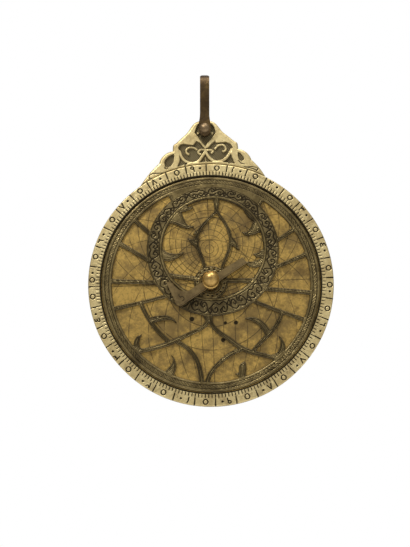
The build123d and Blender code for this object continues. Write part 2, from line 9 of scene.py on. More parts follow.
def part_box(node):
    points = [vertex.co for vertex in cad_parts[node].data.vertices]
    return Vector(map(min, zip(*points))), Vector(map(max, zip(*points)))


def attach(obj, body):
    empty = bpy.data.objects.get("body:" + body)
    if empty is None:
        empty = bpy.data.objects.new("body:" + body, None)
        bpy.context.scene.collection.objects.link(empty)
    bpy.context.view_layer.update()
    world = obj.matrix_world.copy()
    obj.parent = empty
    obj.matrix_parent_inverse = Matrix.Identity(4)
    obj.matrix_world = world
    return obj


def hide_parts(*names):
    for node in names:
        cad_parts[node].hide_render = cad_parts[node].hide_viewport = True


# The brass astrolabe in a pale studio. Unless a line says otherwise, sizes are in millimetres about the
# disc's centre: X to the right, Z up, and "height" towards the viewer, which is minus Y.

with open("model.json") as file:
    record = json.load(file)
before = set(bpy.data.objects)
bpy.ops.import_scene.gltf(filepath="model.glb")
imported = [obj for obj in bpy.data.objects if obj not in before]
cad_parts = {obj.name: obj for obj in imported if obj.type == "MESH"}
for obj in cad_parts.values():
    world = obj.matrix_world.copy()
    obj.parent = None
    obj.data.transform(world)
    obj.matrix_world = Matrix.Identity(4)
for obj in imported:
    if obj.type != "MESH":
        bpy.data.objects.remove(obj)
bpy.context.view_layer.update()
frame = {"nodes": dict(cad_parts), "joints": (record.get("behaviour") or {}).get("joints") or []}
nodes = frame["nodes"]

MM = 0.001
joints = {joint["name"]: joint for joint in frame["joints"]}


def faces_of(name):
    """The heights of a node's front and back face."""
    low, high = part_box(name)
    return round(-low[1] / MM, 3), round(-high[1] / MM, 3)


# Sizes from the frame

centre_height = round(joints["rete_turn"]["pos_m"][2] / MM, 3)
disc_radius = round(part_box("limb_ring")[1][0] / MM, 3)
limb_face, limb_back = faces_of("limb_ring")
rete_face, rete_back = faces_of("rete")
throne_face, throne_back = faces_of("throne")
slide = joints["horse_slide"]["axis"]
wedge_turn = math.atan2(-slide[2], -slide[0])

# Sizes that repeat the model's own

limb_inner = 44.9
rete_turn = math.radians(5.6)
ecliptic_centre = 13.425
ecliptic_radius = 27.125
inner_centre = 14.425
inner_radius = 20.7
band_inner = 40.55
hub_radius = 6.9
bore_radius = 3.36

sharp_edge = math.radians(50)
rng = random.Random(7)


# Shader helpers


def feed(socket, value):
    """Gives a socket a plain value, or links it to another socket or to a shader's number."""
    source = value.socket if isinstance(value, Number) else value
    if isinstance(source, bpy.types.NodeSocket):
        socket.id_data.links.new(source, socket)
    else:
        socket.default_value = source


def node(tree, kind, sockets=None, **settings):
    """A shader node with its settings, and what its inputs are fed, by their names or numbers."""
    made = tree.nodes.new("ShaderNode" + kind)
    for key, value in settings.items():
        setattr(made, key, value)
    for key, value in (sockets or {}).items():
        feed(made.inputs[key], value)
    return made


def calc(operation, *values):
    """One Math node on some numbers, at least one of them a shader's."""
    tree = next(value.tree for value in values if isinstance(value, Number))
    return Number(node(tree, "Math", dict(enumerate(values)), operation=operation).outputs[0])


class Number:
    """A shader's number. Python's own signs between such numbers add the nodes that work them out."""

    def __init__(self, socket):
        self.socket = socket
        self.tree = socket.id_data

    def __add__(self, other):
        return calc("ADD", self, other)

    def __sub__(self, other):
        return calc("SUBTRACT", self, other)

    def __rsub__(self, other):
        return calc("SUBTRACT", other, self)

    def __mul__(self, other):
        return calc("MULTIPLY", self, other)

    def __truediv__(self, other):
        return calc("DIVIDE", self, other)

    def __abs__(self):
        return calc("ABSOLUTE", self)

    def __gt__(self, other):
        return calc("GREATER_THAN", self, other)

    def __lt__(self, other):
        return calc("LESS_THAN", self, other)

    __radd__ = __add__
    __rmul__ = __mul__


def noise(tree, place, scale, detail=3.0, rough=0.55, distortion=0.0):
    """A noise's value at a place, with its scale in waves per metre."""
    shape = {"Scale": scale, "Detail": detail, "Roughness": rough, "Distortion": distortion}
    return Number(node(tree, "TexNoise", {"Vector": place, **shape}).outputs["Fac"])


def ramp(number, low, high):
    """0 under low, 1 over high, smooth between."""
    sockets = {"Value": number, "From Min": low, "From Max": high}
    return Number(node(number.tree, "MapRange", sockets, interpolation_type="SMOOTHSTEP").outputs["Result"])


def blend(share, a, b):
    """Colour a where share is 0, colour b where it is 1. A colour is red, green and blue, or a socket."""
    first, second = (value if isinstance(value, bpy.types.NodeSocket) else (*value, 1.0) for value in (a, b))
    return node(share.tree, "Mix", {"Factor": share, 6: first, 7: second}, data_type="RGBA").outputs[2]


def object_place(tree):
    """The place on the object, as a vector in metres."""
    return node(tree, "TexCoord").outputs["Object"]


def flat_place(tree, place):
    """The place on the disc, from its centre, as x and z in millimetres."""
    parts = node(tree, "SeparateXYZ", {"Vector": place})
    x = Number(parts.outputs["X"]) * (1 / MM)
    z = (Number(parts.outputs["Z"]) - centre_height * MM) * (1 / MM)
    return x, z


# Engraving drawn by the shaders, and the painted shade that reliefs carry: each function gives 1 in its lines
# and 0 beside them


def length_of(a, b):
    """The length of a step whose sides are a and b."""
    return calc("SQRT", a * a + b * b)


def line_at(distance, width):
    """1 on a line of a width, from the distance to its middle."""
    return 1.0 - ramp(abs(distance), width * 0.3, width * 0.7)


def every(number, step, scale, width):
    """1 on lines at each step of a number, whose unit is scale millimetres long."""
    share = calc("PINGPONG", number / step, 0.5)
    return line_at(share * step * scale, width)


def most(numbers):
    """The highest of some numbers."""
    out = numbers[0]
    for number in numbers[1:]:
        out = calc("MAXIMUM", out, number)
    return out


def relief_lines(tree, place):
    """The engraving and the painted shade that a relief's own points carry."""
    return Number(node(tree, "Attribute", attribute_name="ink_and_shade", attribute_type="GEOMETRY").outputs["Fac"])


def plate_lines(tree, place):
    """The plate's engraving for one latitude: almucantars, azimuths, circles, axes, and a few pits."""
    equator = 27.5
    inner_tropic = equator * math.tan(math.radians(33.28))
    outer_tropic = 41.9
    border = 43.2
    latitude = math.radians(36)
    sine = math.sin(latitude)
    cosine = math.cos(latitude)
    x_mm, z_mm = flat_place(tree, place)
    x = x_mm / equator
    z = z_mm / equator
    squared = x * x + z * z
    low = 1.0 - squared
    whole = 1.0 + squared
    unit = whole * (equator / 2)
    altitude_sine = (low * sine + z * (2 * cosine)) / whole
    altitude = calc("ARCSINE", altitude_sine)
    level = calc("SQRT", 1.0 - altitude_sine * altitude_sine)
    bearing = calc("ARCTAN2", x * 2.0, z * (2 * sine) - low * cosine)
    almucantars = every(altitude, math.radians(6), unit, 0.3) * ramp(altitude, -0.02, 0.0)
    azimuths = every(bearing, math.radians(15), unit * level, 0.3) * ramp(level, 0.2, 0.45)
    radius = calc("SQRT", squared) * equator
    rings = [line_at(radius - at, 0.4) for at in (equator, inner_tropic, outer_tropic, border)]
    axes = [line_at(x_mm, 0.36), line_at(z_mm, 0.36)]
    drawn = most([almucantars, azimuths] + rings + axes)
    faded = 0.35 + ramp(noise(tree, place, 260.0), 0.35, 0.6)
    pits = []
    for at, size in (((-8.3, -14.6), 1.15), ((9.5, -16.7), 1.0), ((5.2, -16.7), 0.8), ((4.0, -23.6), 1.0)):
        away = length_of(x_mm - at[0], z_mm - at[1])
        pits.append(1.0 - ramp(away, size * 0.7, size * 1.1))
    return most([drawn * calc("MINIMUM", faded, 0.75)] + pits)


def back_lines(tree, place):
    """The back's engraving: ruled rings, degrees, axes, arcs in the upper half and a double shadow square."""
    degree_ring = 48.8
    scale_ring = 42.4
    inner_ring = 35.6
    x, z = flat_place(tree, place)
    radius = length_of(x, z)
    turn = calc("ARCTAN2", x, z)
    rings = [line_at(radius - at, 0.3) for at in (degree_ring, 44.3, scale_ring, 36.5, inner_ring)]
    degrees = every(turn, math.radians(1), radius, 0.2) * (radius > degree_ring)
    fives = every(turn, math.radians(5), radius, 0.3) * (radius > scale_ring)
    axes = [line_at(x, 0.3), line_at(z, 0.3)]
    under = z < 0.0
    arcs = every(radius - 3.0, 4.4, 1.0, 0.25) * ((radius < inner_ring) * (1.0 - under))
    wide = abs(x)
    squares = []
    for size in (20.0, 23.0):
        side = line_at(wide - size, 0.3) * (z > -size)
        foot = line_at(z + size, 0.3) * (wide < size)
        squares.append(calc("MAXIMUM", side, foot) * under)
    return most(rings + [degrees, fives, arcs] + axes + squares)


def horse_lines(tree, place):
    """The wedge's engraving: a line along its edge and two small open curls on its head."""
    x, z = flat_place(tree, place)
    along = x * math.cos(wedge_turn) + z * math.sin(wedge_turn)
    across = z * math.cos(wedge_turn) - x * math.sin(wedge_turn)

    def ring(ahead, aside, radius):
        return line_at(length_of(ahead, aside) - radius, 0.34)

    ahead_low = along + 13.6
    ahead_high = along + 13.2
    curl_low = ring(ahead_low, across - 0.6, 0.85) * (ahead_low > -0.45)
    curl_high = ring(ahead_high, across - 2.1, 0.75) * (ahead_high < -0.2)
    return most([curl_low, curl_high, line_at(across + 1.3, 0.2) * 0.8])


# Materials


def brass(name, light, dark, stain, rough, grain=1.0, darkening=None):
    """Aged brass: mottled colour, brown stains, small pits, fine scratches, blackened engraving and painted
    shade.
    darkening, if given, makes the number from the tree and the place that is 1 in engraved lines and in
    painted shade."""
    metal = 0.85
    ink_and_shade_colour = (0.02, 0.015, 0.008)
    material = bpy.data.materials.new(name)
    material.use_nodes = True
    tree = material.node_tree
    shader = tree.nodes["Principled BSDF"]
    place = object_place(tree)
    # The noises are read on a tilted grid, so that no flat face of the object lies along their own planes.
    tilt = {"Vector": place, "Location": (0.31, 0.17, 0.43), "Rotation": (0.7, 0.4, 0.3)}
    aslant = node(tree, "Mapping", tilt).outputs[0]
    clouds = noise(tree, aslant, 85.0, 9.0, 0.74)
    fine = noise(tree, aslant, 900.0, 3.0, 0.6)
    spots = noise(tree, aslant, 620.0, 3.0, 0.6, 0.4)
    tarnish = noise(tree, aslant, 120.0, 6.0, 0.68)
    mottled = blend(ramp(clouds, 0.42, 0.6), light, dark)
    grained = blend(ramp(fine, 0.45, 0.7) * 0.6, mottled, dark)
    tarnished = blend(ramp(tarnish, 0.5, 0.66) * 0.5, grained, stain)
    colour = blend(ramp(spots, 0.62, 0.74) * 0.6, tarnished, stain)
    if darkening is None:
        shader.inputs["Metallic"].default_value = metal
    else:
        line = darkening(tree, place)
        bare = 1.0 - line
        # Near black in engraved lines, and on the reliefs also in the shade painted along edges and gaps.
        colour = blend(line, colour, ink_and_shade_colour)
        feed(shader.inputs["Metallic"], bare * metal)
        feed(shader.inputs["Specular IOR Level"], bare * 0.5)
    feed(shader.inputs["Base Color"], colour)
    feed(shader.inputs["Roughness"], clouds * 0.3 + (rough - 0.12))
    stretch = {"Vector": aslant, "Rotation": (0.0, 0.5, 0.0), "Scale": (1.0, 1.0, 14.0)}
    scratches = noise(tree, node(tree, "Mapping", stretch).outputs[0], 500.0, 2.0, 0.5)
    height = fine * 0.5 + scratches * 0.35 + spots * -0.4
    bump = node(tree, "Bump", {"Height": height, "Strength": 0.6 * grain, "Distance": 0.15 * MM})
    feed(shader.inputs["Normal"], bump.outputs[0])
    return material


pale = brass(
    "rubbed_brass", (0.68, 0.55, 0.27), (0.50, 0.385, 0.175), (0.20, 0.135, 0.055), 0.42, darkening=relief_lines
)
rete_brass = brass(
    "olive_brass", (0.27, 0.20, 0.08), (0.125, 0.09, 0.034), (0.05, 0.034, 0.015), 0.34, darkening=relief_lines
)
plate_brass = brass(
    "golden_plate", (0.62, 0.40, 0.105), (0.25, 0.165, 0.055), (0.085, 0.05, 0.02), 0.36, darkening=plate_lines
)
back_brass = brass(
    "satin_brass", (0.42, 0.32, 0.15), (0.29, 0.21, 0.09), (0.12, 0.08, 0.04), 0.42, darkening=back_lines
)
horse_brass = brass(
    "brown_brass", (0.27, 0.19, 0.08), (0.16, 0.11, 0.048), (0.07, 0.045, 0.02), 0.34, darkening=horse_lines
)
bronze = brass("dark_bronze", (0.17, 0.105, 0.036), (0.07, 0.043, 0.018), (0.03, 0.02, 0.01), 0.3)
gold = brass("polished_pin", (0.62, 0.40, 0.12), (0.42, 0.26, 0.08), (0.16, 0.09, 0.03), 0.32, grain=0.5)
red_brass = brass("worn_rivet", (0.30, 0.21, 0.11), (0.18, 0.12, 0.06), (0.08, 0.05, 0.03), 0.36)
rule_brass = brass("rule_brass", (0.44, 0.34, 0.15), (0.31, 0.23, 0.10), (0.13, 0.08, 0.04), 0.4)

rule_nodes = ["alidade", "sight_vane_left", "sight_vane_right"]
for material, names in (
    (pale, ["limb_ring", "throne"]),
    (rete_brass, ["rete"]),
    (plate_brass, [f"latitude_plate_{i}" for i in range(1, 6)]),
    (back_brass, ["mater_back_plate"]),
    (horse_brass, ["horse"]),
    (bronze, ["bail"]),
    (gold, ["centre_pin"]),
    (red_brass, ["bail_pin", "vane_rivets"]),
    (rule_brass, ["limb_rivets", "plate_key", "throne_rivets", *rule_nodes]),
):
    for name in names:
        data = nodes[name].data
        if not data.materials:
            data.materials.append(material)
        for i in range(len(data.materials)):
            data.materials[i] = material

for name in ("horse", *rule_nodes):
    edges = nodes[name].modifiers.new("worn_edges", "BEVEL")
    edges.width = 0.15 * MM
    edges.segments = 2
    edges.limit_method = "ANGLE"
    edges.angle_limit = sharp_edge


# Reliefs: a height over a fine grid, cut to an outline of the model


def open_edges(faces):
    """The edges of some faces that only one face has, each from its start to its end."""
    found = {}
    for face in faces:
        for start, end in zip(face, face[1:] + face[:1]):
            if (end, start) in found:
                del found[end, start]
            else:
                found[start, end] = True
    return list(found)


def outline_segments(name, height, tolerance=0.02):
    """The border of a model's flat face at a height, as an array of segments (x0, z0, x1, z1)."""
    mesh = nodes[name].data
    mesh.calc_loop_triangles()
    points = np.array([vertex.co for vertex in mesh.vertices]) / MM
    flat = np.abs(points[:, 1] + height) < tolerance
    keys = [(round(x, 4), round(z, 4)) for x, _, z in points]
    triangles = [triangle.vertices for triangle in mesh.loop_triangles]
    faces = [tuple(keys[i] for i in corners) for corners in triangles if all(flat[i] for i in corners)]
    segments = np.array([[*start, *end] for start, end in open_edges(faces)])
    segments[:, [1, 3]] -= centre_height
    return segments


class Sheet:
    """A flat grid of points, on which lines and areas are drawn."""

    def __init__(self, xs, zs):
        self.xs = xs
        self.zs = zs
        self.x, self.z = np.meshgrid(xs, zs)

    def near(self, start, end, reach):
        """The slices of the grid near a segment, and the distances to it there."""
        across = [min(start[0], end[0]) - reach, max(start[0], end[0]) + reach]
        upward = [min(start[1], end[1]) - reach, max(start[1], end[1]) + reach]
        columns = slice(*np.searchsorted(self.xs, across))
        rows = slice(*np.searchsorted(self.zs, upward))
        x = self.x[rows, columns] - start[0]
        z = self.z[rows, columns] - start[1]
        along = (end[0] - start[0], end[1] - start[1])
        length = along[0] ** 2 + along[1] ** 2
        share = np.clip((x * along[0] + z * along[1]) / length, 0, 1) if length else 0
        return rows, columns, np.hypot(x - share * along[0], z - share * along[1])

    def strokes(self, lines, width, soft=0.12):
        """1 in the middle of drawn lines, 0 beside them."""
        out = np.zeros(self.x.shape)
        reach = width / 2 + soft
        for line in lines:
            for start, end in zip(line, line[1:]):
                rows, columns, distance = self.near(start, end, reach)
                value = np.clip((reach - distance) / soft, 0, 1)
                out[rows, columns] = np.maximum(out[rows, columns], value)
        return out

    def distance(self, segments, reach):
        """The distance to closed outlines, positive inside them, out to a reach."""
        away = np.full(self.x.shape, float(reach))
        crossings = [[] for _ in self.zs]
        step = self.zs[1] - self.zs[0]
        for x0, z0, x1, z1 in segments:
            rows, columns, distance = self.near((x0, z0), (x1, z1), reach)
            away[rows, columns] = np.minimum(away[rows, columns], distance)
            first = math.ceil((min(z0, z1) - self.zs[0]) / step)
            last = math.ceil((max(z0, z1) - self.zs[0]) / step)
            for row in range(max(first, 0), min(last, len(self.zs))):
                share = (self.zs[row] - z0) / (z1 - z0)
                crossings[row].append(x0 + share * (x1 - x0))
        inside = np.zeros(self.x.shape, bool)
        for row, places in enumerate(crossings):
            places.sort()
            for a, b in zip(places[::2], places[1::2]):
                inside[row] |= (self.xs > a) & (self.xs <= b)
        return np.where(inside, away, -away)

    def area(self, points, soft=0.25):
        """1 well inside a closed line, 0 outside it."""
        segments = [[*a, *b] for a, b in zip(points, points[1:] + points[:1])]
        return np.clip(self.distance(segments, 2 * soft) / soft, 0, 1)


class Field(Sheet):
    """A fine grid over an outline of the model, with each point's depth inside it."""

    def __init__(self, segments, cell, reach=1.6):
        margin = 3 * cell
        low = np.minimum(segments[:, :2], segments[:, 2:]).min(0) - margin
        high = np.maximum(segments[:, :2], segments[:, 2:]).max(0) + margin
        super().__init__(np.arange(low[0], high[0], cell), np.arange(low[1], high[1], cell))
        self.depth = self.distance(segments, reach)


def band(value, middle, width, soft=0.1):
    """1 where a value is near its middle, over a width, with soft sides."""
    return np.clip((width / 2 + soft - np.abs(value - middle)) / soft, 0, 1)


def marched(depth):
    """The faces that cover the inside of a grid of depths, and the starts and ends of the grid's steps that
    the border crosses. The faces count the grid's own points first, then one border point for each step."""
    rows, columns = depth.shape
    index = np.arange(depth.size).reshape(rows, columns)
    inside = depth > 0
    level_at = index[:, :-1][inside[:, :-1] != inside[:, 1:]]
    upright_at = index[:-1][inside[:-1] != inside[1:]]
    starts = np.concatenate([level_at, upright_at])
    ends = np.concatenate([level_at + 1, upright_at + columns])
    level = np.full(depth.size, -1)
    level[level_at] = depth.size + np.arange(len(level_at))
    upright = np.full(depth.size, -1)
    upright[upright_at] = depth.size + len(level_at) + np.arange(len(upright_at))
    a = index[:-1, :-1].ravel()
    corners = [a, a + 1, a + columns + 1, a + columns]
    sides = [level[a], upright[a + 1], level[a + columns], upright[a]]
    held = [inside.ravel()[corner] for corner in corners]
    faces = np.stack(corners, -1)[held[0] & held[1] & held[2] & held[3]].tolist()
    for length in (1, 2, 3):
        for first in range(4):
            run = [(first + i) % 4 for i in range(length)]
            chosen = ~(held[first - 1] | held[(first + length) % 4])
            for i in run:
                chosen = chosen & held[i]
            face = [corners[i] for i in run] + [sides[run[-1]], sides[first - 1]]
            faces += np.stack(face, -1)[chosen].tolist()
    return faces, starts, ends


def engraved_object(name, points, faces, ink_and_shade, material, body):
    """An object of points and faces, with each point's ink and painted shade, that rides on a body."""
    mesh = bpy.data.meshes.new(name)
    mesh.from_pydata((points * MM).tolist(), [], faces)
    darkening = mesh.attributes.new("ink_and_shade", "FLOAT", "POINT")
    darkening.data.foreach_set("value", ink_and_shade.astype(np.float32))
    mesh.update()
    mesh.polygons.foreach_set("use_smooth", [True] * len(mesh.polygons))
    mesh.set_sharp_from_angle(angle=sharp_edge)
    made = bpy.data.objects.new(name, mesh)
    bpy.context.scene.collection.objects.link(made)
    mesh.materials.append(material)
    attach(made, body)
    return made


def relief_piece(name, field, front, front_ink_and_shade, back, back_ink, material, body):
    """The solid between the heights of a front and a back, cut to the field's outline."""
    sheets = np.broadcast_arrays(field.x, field.z, front, front_ink_and_shade, back, back_ink)
    grid = np.stack(sheets, -1).reshape(-1, len(sheets))
    faces, starts, ends = marched(field.depth)
    depth = field.depth.ravel()
    share = (depth[starts] / (depth[starts] - depth[ends]))[:, None]
    points = np.concatenate([grid, grid[starts] * (1 - share) + grid[ends] * share])
    used = sorted({i for face in faces for i in face})
    lookup = {old: new for new, old in enumerate(used)}
    top = [[lookup[i] for i in face] for face in faces]
    count = len(used)
    walls = [[start, start + count, end + count, end] for start, end in open_edges(top)]
    bottom = [[i + count for i in reversed(face)] for face in top]
    x, z, front, front_ink_and_shade, back, back_ink = points[used].T
    upward = z + centre_height
    corners = np.concatenate([np.stack([x, -front, upward], -1), np.stack([x, -back, upward], -1)])
    ink_and_shade = np.concatenate([front_ink_and_shade, back_ink])
    return engraved_object(name, corners, top + walls + bottom, ink_and_shade, material, body)


# Curves for engraving


def arc(centre, radius, start, end, steps=10, squash=1.0):
    """Points on an arc, angles in degrees from the right, anticlockwise."""
    out = []
    for i in range(steps + 1):
        turn = math.radians(start + (end - start) * i / steps)
        out.append((centre[0] + radius * math.cos(turn), centre[1] + radius * squash * math.sin(turn)))
    return out


def between(a, b, c, d, share):
    """The value at a share of the way from b to c, on the smooth curve through four values."""
    square = (2 * a - 5 * b + 4 * c - d) * share**2
    cube = (3 * b - a - 3 * c + d) * share**3
    return 0.5 * (2 * b + (c - a) * share + square + cube)


def smooth(points, steps=6):
    """A smooth line through points."""
    out = []
    padded = [points[0], *points, points[-1]]
    for four in zip(padded, padded[1:], padded[2:], padded[3:]):
        for i in range(steps):
            out.append(tuple(between(*values, i / steps) for values in zip(*four)))
    out.append(points[-1])
    return out


def clock(radius, angle):
    """The point at a radius and an angle in degrees clockwise from the top."""
    turn = math.radians(angle)
    return radius * math.sin(turn), radius * math.cos(turn)


# Rete


def on_ecliptic(along, across):
    """A point of the ecliptic's engraved band.
    along is in degrees clockwise, and across goes from -1 at its inner side to 1 at its outer side."""
    inner_border = 1.55
    outer_border = 0.75
    x, z = clock(1.0, along)
    middle = (ecliptic_centre + inner_centre) / 2
    inner = inner_radius + (inner_centre - middle) * z + inner_border
    outer = ecliptic_radius + (ecliptic_centre - middle) * z - outer_border
    radius = (inner + outer) / 2 + across * (outer - inner) / 2
    return x * radius, middle + z * radius


def vine_lines():
    """A running vine scroll for the ecliptic's band, upright and upside down by turns."""
    count = 19
    unit = 2.95
    stem = [(-3.2, -0.5), (-2.0, -0.8), (-0.4, -0.1), (1.2, 0.75), (2.4, 0.75), (3.2, 0.5)]
    curl_high = [(-0.6, -0.2), (-1.3, 0.6), (-2.2, 0.75), (-2.7, 0.3), (-2.3, -0.1), (-1.8, 0.2)]
    curl_low = [(0.6, 0.4), (0.8, -0.3), (1.5, -0.8), (2.4, -0.6), (2.5, -0.1), (1.9, 0.05), (1.6, -0.25)]
    leaf = [(-0.5, 0.95), (0.3, 0.45), (-0.1, 0.1), (-0.7, 0.4), (-0.5, 0.95)]
    bud = [(2.9, -0.85), (3.2, -0.4), (2.8, -0.2)]
    lines = []
    for i in range(count):
        flip = 1 if i % 2 else -1
        wide = rng.uniform(0.92, 1.06)
        middle = (i + 0.5) * 360 / count
        for part in (stem, curl_high, curl_low, leaf, bud):
            lines.append([on_ecliptic(middle + u * wide * unit, v * flip) for u, v in smooth(part, 4)])
    return lines


def sign_marks():
    """The twelve marks across the ecliptic's band, closer together near its top."""
    marks = []
    for i in range(12):
        turn = math.radians(i * 30 + 14)
        along = math.degrees(turn - 0.35 * math.sin(turn))
        marks.append([on_ecliptic(along, -1), on_ecliptic(along, 1)])
    return marks


def turned(x, z, angle):
    """A place, or arrays of them, turned clockwise about the disc's centre."""
    return x * math.cos(angle) + z * math.sin(angle), z * math.cos(angle) - x * math.sin(angle)


def drawn_on_rete(field, lines, width):
    """Strokes of lines that are drawn on the upright rete, where it stands at rest."""
    return field.strokes([[turned(x, z, rete_turn) for x, z in line] for line in lines], width)


def rete_grooves(field, radius, around, to_inner, to_outer):
    """The ecliptic's scroll and marks, grooved straps, a rope between two lines on the rim, and hub dots."""
    rope_radius = 42.4
    rope_pitch = 1.3
    rope_slant = 1.4
    dot_ring = 5.5
    dot_step = 2 * math.pi / 18
    depth = field.depth
    ring = (to_outer > 0) & (to_inner > 0)
    rim = radius > band_inner
    hub = radius < hub_radius
    strap = ~(ring | rim | hub)
    slant = np.mod(around * rope_radius + (radius - rope_radius) * rope_slant, rope_pitch)
    rope = np.abs(radius - rope_radius) < 0.7
    groove = np.zeros(depth.shape)
    for measure, middle, width, where, strength in (
        (depth, 0.55, 0.16, strap | hub, 1.0),
        (depth, 1.15, 0.12, strap, 0.7),
        (to_inner, 0.3, 0.08, ring, 1.0),
        (to_inner, 1.3, 0.26, ring, 1.0),
        (to_outer, 0.5, 0.1, ring, 1.0),
        (radius, rope_radius + 0.8, 0.14, rim, 1.0),
        (radius, rope_radius - 0.8, 0.1, rim, 1.0),
        (slant, rope_pitch / 2, 0.16, rope, 0.85),
        (radius, 4.5, 0.12, hub, 1.0),
    ):
        groove = np.maximum(groove, strength * band(measure, middle, width) * where)
    groove = np.maximum(groove, drawn_on_rete(field, vine_lines(), 0.42) * ring)
    groove = np.maximum(groove, 0.8 * drawn_on_rete(field, sign_marks(), 0.2) * ring)
    to_dot = np.hypot(radius - dot_ring, (np.mod(around / dot_step, 1) - 0.5) * dot_step * dot_ring)
    return np.maximum(groove, np.clip((0.5 - to_dot) / 0.15, 0, 1) * hub)


def make_rete():
    """The star net: worn edges, its grooves, a slightly sunken ground under the ecliptic's scroll, and a
    painted shadow along its edges.
    """
    edge_round = 0.5
    groove_depth = 0.34
    ground_depth = 0.12
    field = Field(outline_segments("rete", rete_back), 0.17)
    x, z = turned(field.x, field.z, -rete_turn)
    radius = np.hypot(x, z)
    around = np.arctan2(x, z)
    to_inner = np.hypot(x, z - inner_centre) - inner_radius
    to_outer = ecliptic_radius - np.hypot(x, z - ecliptic_centre)
    groove = rete_grooves(field, radius, around, to_inner, to_outer)
    ground = np.clip((to_inner - 1.4) / 0.3, 0, 1) * np.clip((to_outer - 0.6) / 0.3, 0, 1)
    edge_wear = 0.4 * np.clip(1 - field.depth / edge_round, 0, 1) ** 2
    bore_wear = 0.5 * np.clip((bore_radius + edge_round - radius) / edge_round, 0, 1)
    height = rete_face - np.maximum(edge_wear, bore_wear) - groove_depth * groove - ground_depth * ground
    # Painted shadow: a near-black band painted along every edge of the net, where shade falls at its sides.
    edge_painted_shade = 0.9 * np.clip(1.4 - field.depth / 0.22, 0, 1)
    ink_and_shade = np.maximum(np.maximum(groove * 0.95, 0.22 * ground), edge_painted_shade)
    made = relief_piece("rete_relief", field, height, ink_and_shade, rete_back, 0.0, rete_brass, "rete")
    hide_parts("rete")


make_rete()


# Limb


def digit(value):
    """Strokes of an eastern Arabic digit, in a box from -1 to 1."""
    tooth = (-0.75, 0.9)
    shapes = {
        0: [arc((0, 0), 0.24, 0, 360, 6)],
        1: [[(0.15, 1.0), (-0.1, 0.2), (-0.15, -1.0)]],
        2: [smooth([(0.7, 0.95), (0.5, 0.4), (0.0, 0.3), (-0.5, 0.9), (-0.45, 0.0), (-0.35, -1.0)])],
        3: [
            smooth([(0.8, 0.95), (0.6, 0.4), (0.25, 0.4), (0.1, 0.8), (-0.05, 0.4), (-0.4, 0.35), tooth]),
            [tooth, (-0.55, 0.0), (-0.5, -1.0)],
        ],
        4: [
            smooth([(0.6, 0.95), (-0.3, 0.7), (-0.1, 0.15), (0.4, 0.05)]),
            smooth([(0.4, 0.05), (-0.5, -0.2), (-0.4, -0.85), (0.6, -0.8)]),
        ],
        5: [arc((0, -0.05), 0.85, 90, 450, 14, 1.1)],
        6: [smooth([(-0.65, 0.95), (-0.45, 0.6), (0.4, 0.65)]), [(0.4, 0.75), (0.35, -0.2), (0.5, -1.0)]],
        7: [[(-0.75, 0.95), (0.0, -0.95), (0.75, 0.95)]],
        8: [[(-0.75, -0.95), (0.0, 0.95), (0.75, -0.95)]],
        9: [arc((-0.1, 0.45), 0.5, 0, 360, 10), [(0.4, 0.5), (0.4, -0.2), (0.55, -1.0)]],
    }
    return shapes[value]


def limb_numbers(cells, pitch, height):
    """Strokes of the numbers in the limb's cells: fives, and between them ten, twenty and so on to ninety."""
    spacing = 2.9
    wide = 1.12
    glyphs = []
    for i in range(cells):
        number = 5 if i % 2 == 0 else (i // 2 % 9 + 1) * 10
        text = [int(letter) for letter in str(number)]
        for j, value in enumerate(text):
            at = (i + 0.5) * pitch + (j - (len(text) - 1) / 2) * spacing + rng.uniform(-0.25, 0.25)
            tall = rng.uniform(1.0, 1.1)
            glyphs += [[(at + u * wide, height + v * tall) for u, v in line] for line in digit(value)]
    return glyphs


def limb_engraving(strip, cells, pitch):
    """The limb's engraving, unrolled: dividers, numbers, a ruled line, ticks, and at the inner edge a shallow
    step painted black as the shade of the gap to the rete.
    """
    gap_shade_edge = limb_inner + 0.5
    tick_start = limb_inner + 0.4
    tick_end = limb_inner + 1.95
    ruled_line = limb_inner + 2.1
    divider_start = limb_inner + 2.2
    divider_end = disc_radius - 0.1
    number_height = limb_inner + 3.5
    stroke = 0.42
    ticks = 6
    # The first and the last divider meet where the strip closes into a ring, so those two aren't moved.
    starts = [i * pitch + rng.uniform(-0.1, 0.1) * (0 < i < cells) for i in range(cells + 1)]
    ends = [start + rng.uniform(-0.15, 0.15) * (0 < i < cells) for i, start in enumerate(starts)]
    dividers = [[(start, divider_start), (end, divider_end)] for start, end in zip(starts, ends)]
    engraved_and_gap_shade = strip.strokes(dividers, stroke)
    engraved_and_gap_shade = np.maximum(engraved_and_gap_shade, strip.strokes(limb_numbers(cells, pitch, number_height), stroke))
    engraved_and_gap_shade = np.maximum(engraved_and_gap_shade, 0.35 * band(strip.z, ruled_line, 0.06))
    step = pitch / ticks
    tick = np.clip((np.abs(np.mod(strip.x / step, 1) - 0.5) - 0.3) * step / 0.12, 0, 1)
    tick *= np.clip((tick_end - strip.z) / 0.12, 0, 1) * np.clip((strip.z - tick_start) / 0.1, 0, 1)
    engraved_and_gap_shade = np.maximum(engraved_and_gap_shade, tick)
    # Painted shade: the inner edge is cut a little and painted black for the shade in the gap between the
    # limb and the rete.
    return np.maximum(engraved_and_gap_shade, np.clip((gap_shade_edge - strip.z) / 0.1, 0, 1))


